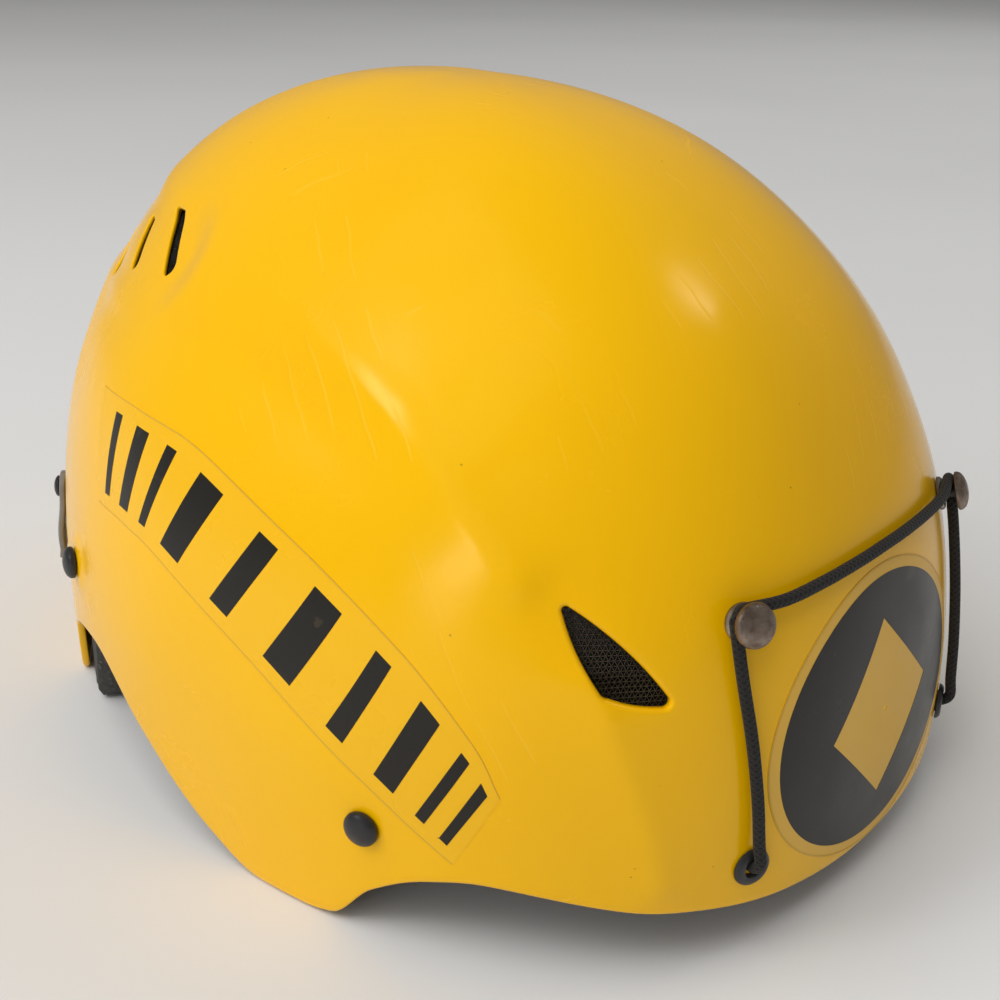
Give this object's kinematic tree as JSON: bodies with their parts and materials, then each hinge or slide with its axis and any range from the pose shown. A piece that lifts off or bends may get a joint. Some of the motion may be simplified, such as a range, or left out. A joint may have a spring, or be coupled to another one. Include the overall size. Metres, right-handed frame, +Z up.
{
  "type": "climbing helmet",
  "caption": "Hard-shell climbing helmet with foam liner, side vents with mesh, elastic lamp cord on studs, headband with dial adjuster and buckled chin strap.",
  "frame": {"origin": "centre of the helmet box in X and Y, at the floor it stands on", "axes": "+Z up, front along -Y, the wearer's right side is -X"},
  "size_m": [0.213, 0.275, 0.1765],
  "materials": {
    "shell_yellow": "glossy moulded shell, warm yellow, fine scratches",
    "foam_dark": "dark closed-cell foam, speckled",
    "vent_mesh_black": "fine moulded mesh",
    "moulded_black": "satin moulded plastic",
    "clip_grey": "satin grey plastic",
    "stud_pewter": "dull brownish metal, scratched",
    "steel_zinc": "zinc-plated steel",
    "cord_black": "braided elastic cord",
    "webbing_black": "flat woven strap",
    "pad_fabric": "knitted cover over soft foam"
  },
  "bodies": {
    "shell": {"band_post_left": "moulded_black", "band_post_right": "moulded_black", "brow_pad": "pad_fabric", "buckle_female": "moulded_black", "buckle_male": "moulded_black", "chin_webbing_left": "webbing_black", "chin_webbing_right": "webbing_black", "cord_eyelet_left": "moulded_black", "cord_eyelet_right": "moulded_black", "cord_knot_left": "cord_black", "cord_knot_right": "cord_black", "crown_pad": "pad_fabric", "elastic_cord": "cord_black", "foam_liner": "foam_dark", "front_webbing_left": "webbing_black", "front_webbing_right": "webbing_black", "harness_rivet_front_left": "moulded_black", "harness_rivet_front_right": "moulded_black", "harness_rivet_rear_left": "moulded_black", "harness_rivet_rear_right": "moulded_black", "headband_front": "moulded_black", "lamp_clip_rivet_left": "moulded_black", "lamp_clip_rivet_right": "moulded_black", "outer_shell": "shell_yellow", "rear_webbing_left": "webbing_black", "rear_webbing_right": "webbing_black", "rivet_washer_front_left": "steel_zinc", "rivet_washer_front_right": "steel_zinc", "rivet_washer_rear_left": "steel_zinc", "rivet_washer_rear_right": "steel_zinc", "side_pad_left": "pad_fabric", "side_pad_right": "pad_fabric", "strap_divider_left": "moulded_black", "strap_divider_right": "moulded_black", "stud_base_left": "moulded_black", "stud_base_right": "moulded_black", "stud_cap_left": "stud_pewter", "stud_cap_right": "stud_pewter", "temple_peg_left": "moulded_black", "temple_peg_right": "moulded_black", "vent_mesh_left": "vent_mesh_black", "vent_mesh_right": "vent_mesh_black", "webbing_end": "webbing_black"},
    "yoke": {"temple_swivel_right": "moulded_black", "temple_swivel_left": "moulded_black"},
    "tail_right": {"band_tail_right": "moulded_black"},
    "tail_left": {"band_tail_left": "moulded_black"},
    "cradle": {"adjuster_housing": "moulded_black", "adjuster_cover": "moulded_black", "nape_pad": "pad_fabric"},
    "knob": {"adjuster_knob": "moulded_black", "adjuster_pinion": "steel_zinc"},
    "prong_upper": {"buckle_prong_upper": "moulded_black"},
    "prong_lower": {"buckle_prong_lower": "moulded_black"},
    "chin_pad_body": {"chin_pad": "pad_fabric"},
    "keeper": {"strap_keeper": "moulded_black"},
    "slider": {"strap_slider": "moulded_black"},
    "clip_right": {"lamp_clip_right": "clip_grey"},
    "clip_left": {"lamp_clip_left": "clip_grey"}
  },
  "joints": [
    {"name": "headband_tilt", "type": "hinge", "parent": "shell", "child": "yoke", "pos_m": [0, 0.012, 0.04], "axis": [1, 0, 0], "range_deg": [-6, 12]},
    {"name": "cradle_slide", "type": "slide", "parent": "yoke", "child": "cradle", "axis": [0, 1, 0], "range_m": [-0.00681, 0.00681]},
    {"name": "knob_turn", "type": "hinge", "parent": "cradle", "child": "knob", "pos_m": [0, 0.1, 0.04], "axis": [0, 1, 0], "range_deg": [-65, 65]},
    {"name": "tail_right_slide", "type": "hinge", "parent": "yoke", "child": "tail_right", "pos_m": [-0.078, 0.012, 0.04], "axis": [0, 0, 1], "range_deg": [-5, 5]},
    {"name": "tail_left_slide", "type": "hinge", "parent": "yoke", "child": "tail_left", "pos_m": [0.078, 0.012, 0.04], "axis": [0, 0, 1], "range_deg": [-5, 5]},
    {"name": "prong_upper_squeeze", "type": "hinge", "parent": "shell", "child": "prong_upper", "pos_m": [-0.06751, -0.05827, 0.0196], "axis": [-0.9452, -0.3265, 0], "range_deg": [0, 8], "stiffness_Nm_per_rad": 0.02},
    {"name": "prong_lower_squeeze", "type": "hinge", "parent": "shell", "child": "prong_lower", "pos_m": [-0.06751, -0.05827, 0.0044], "axis": [0.9452, 0.3265, 0], "range_deg": [0, 8], "stiffness_Nm_per_rad": 0.02},
    {"name": "chin_pad_slide", "type": "slide", "parent": "shell", "child": "chin_pad_body", "axis": [1, 0, 0], "range_m": [-0.006, 0.006]},
    {"name": "keeper_slide", "type": "slide", "parent": "shell", "child": "keeper", "axis": [-0.3265, -0.9452, 0], "range_m": [-0.007, 0.0022]},
    {"name": "slider_slide", "type": "slide", "parent": "shell", "child": "slider", "axis": [-0.3265, -0.9452, 0], "range_m": [-0.004, 0]},
    {"name": "lamp_clip_right_lift", "type": "hinge", "parent": "shell", "child": "clip_right", "pos_m": [-0.07291, 0.09182, 0.05558], "axis": [0.6027, 0.798, 0], "range_deg": [0, 4], "stiffness_Nm_per_rad": 0.03},
    {"name": "lamp_clip_left_lift", "type": "hinge", "parent": "shell", "child": "clip_left", "pos_m": [0.07291, 0.09182, 0.05558], "axis": [0.6027, -0.798, 0], "range_deg": [0, 4], "stiffness_Nm_per_rad": 0.03}
  ],
  "couplings": [
    {"joint": "cradle_slide", "follows": "knob_turn", "m_per_rad": -0.006},
    {"joint": "tail_right_slide", "follows": "knob_turn", "ratio": -0.0769},
    {"joint": "tail_left_slide", "follows": "knob_turn", "ratio": 0.0769}
  ]
}
